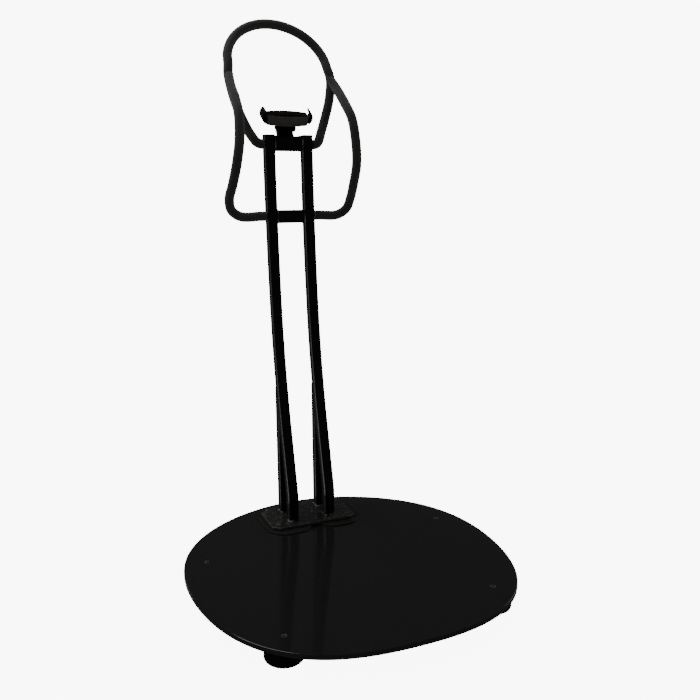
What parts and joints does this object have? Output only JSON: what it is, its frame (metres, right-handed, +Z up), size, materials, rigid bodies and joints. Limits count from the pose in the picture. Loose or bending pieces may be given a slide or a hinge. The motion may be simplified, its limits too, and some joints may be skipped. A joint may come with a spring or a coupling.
{
  "type": "vibration plate",
  "caption": "Round glossy standing board on rubber feet with a bolted twin-tube mast, a sleeved hoop handle with side grips, and a tilting sprung phone holder.",
  "frame": {"origin": "middle of the bounding box's base, on the floor", "axes": "+Z up; +X to the right of a user who stands on the board facing the mast; +Y from the board's front edge towards the mast"},
  "size_m": [0.869, 1.0276, 1.534],
  "materials": {
    "gloss_board": "high-gloss black lacquer",
    "black_enamel": "gloss black enamel",
    "plate_enamel": "satin dark grey enamel",
    "black_rubber": "matte black",
    "grey_rubber": "satin dark grey",
    "woven_sleeve": "matte charcoal, fine woven texture",
    "black_plastic": "fine-grained black",
    "gloss_plastic": "piano black",
    "lip_rubber": "soft satin grey-black",
    "dark_steel": "black zinc",
    "bright_steel": "zinc plated"
  },
  "bodies": {
    "frame": {"deck_board": "gloss_board", "foot_rear": "black_rubber", "foot_insert_rear": "bright_steel", "foot_screw_rear": "dark_steel", "foot_side_left": "black_rubber", "foot_insert_side_left": "bright_steel", "foot_screw_side_left": "dark_steel", "foot_side_right": "black_rubber", "foot_insert_side_right": "bright_steel", "foot_screw_side_right": "dark_steel", "foot_front_left": "black_rubber", "foot_insert_front_left": "bright_steel", "foot_screw_front_left": "dark_steel", "foot_front_right": "black_rubber", "foot_insert_front_right": "bright_steel", "foot_screw_front_right": "dark_steel", "mast_pad": "grey_rubber", "mast_foot_plate": "plate_enamel", "mast_bolt_front_left": "dark_steel", "mast_nut_front_left": "bright_steel", "mast_bolt_front_right": "dark_steel", "mast_nut_front_right": "bright_steel", "mast_bolt_rear_left": "dark_steel", "mast_nut_rear_left": "bright_steel", "mast_bolt_rear_right": "dark_steel", "mast_nut_rear_right": "bright_steel", "backing_bar_left": "bright_steel", "mast_tube_left": "black_enamel", "mast_strut_left": "black_enamel", "mast_cap_left": "black_plastic", "backing_bar_right": "bright_steel", "mast_tube_right": "black_enamel", "mast_strut_right": "black_enamel", "mast_cap_right": "black_plastic", "crossbar_upper": "black_enamel", "crossbar_lower": "black_enamel", "handle_loop_tube": "black_enamel", "handle_loop_sleeve": "woven_sleeve", "grip_tube_left": "black_enamel", "grip_sleeve_left": "woven_sleeve", "grip_tube_right": "black_enamel", "grip_sleeve_right": "woven_sleeve", "holder_bracket": "black_plastic", "bracket_screw_left": "dark_steel", "bracket_screw_right": "dark_steel", "tilt_bolt": "dark_steel"},
    "holder": {"holder_back_shell": "black_plastic", "holder_front_panel": "gloss_plastic", "holder_lower_lip": "lip_rubber", "panel_screw_left": "dark_steel", "panel_screw_right": "dark_steel", "jaw_spring": "bright_steel"},
    "jaw_left": {"jaw_left": "black_plastic", "jaw_pad_left": "black_rubber"},
    "jaw_right": {"jaw_right": "black_plastic", "jaw_pad_right": "black_rubber"},
    "pinion": {"jaw_pinion": "black_plastic"},
    "knob": {"tilt_knob": "black_plastic"}
  },
  "joints": [
    {"name": "holder_tilt", "type": "hinge", "parent": "frame", "child": "holder", "pos_m": [0, 0.37153, 1.21611], "axis": [1, 0, 0], "range_deg": [-25, 30]},
    {"name": "jaw_left_slide", "type": "slide", "parent": "holder", "child": "jaw_left", "axis": [-1, 0, 0], "range_m": [0, 0.018], "stiffness_N_per_m": 150, "springref_m": -0.02},
    {"name": "jaw_right_slide", "type": "slide", "parent": "holder", "child": "jaw_right", "axis": [1, 0, 0], "range_m": [0, 0.018]},
    {"name": "pinion_spin", "type": "hinge", "parent": "holder", "child": "pinion", "pos_m": [0, 0.37832, 1.22035], "axis": [0, -0.5299, 0.848], "range_deg": [0, 207]},
    {"name": "knob_turn", "type": "hinge", "parent": "frame", "child": "knob", "pos_m": [0, 0.37153, 1.21611], "axis": [1, 0, 0], "continuous": true}
  ],
  "couplings": [
    {"joint": "jaw_right_slide", "follows": "jaw_left_slide", "ratio": 1},
    {"joint": "pinion_spin", "follows": "jaw_left_slide", "rad_per_m": 200}
  ]
}
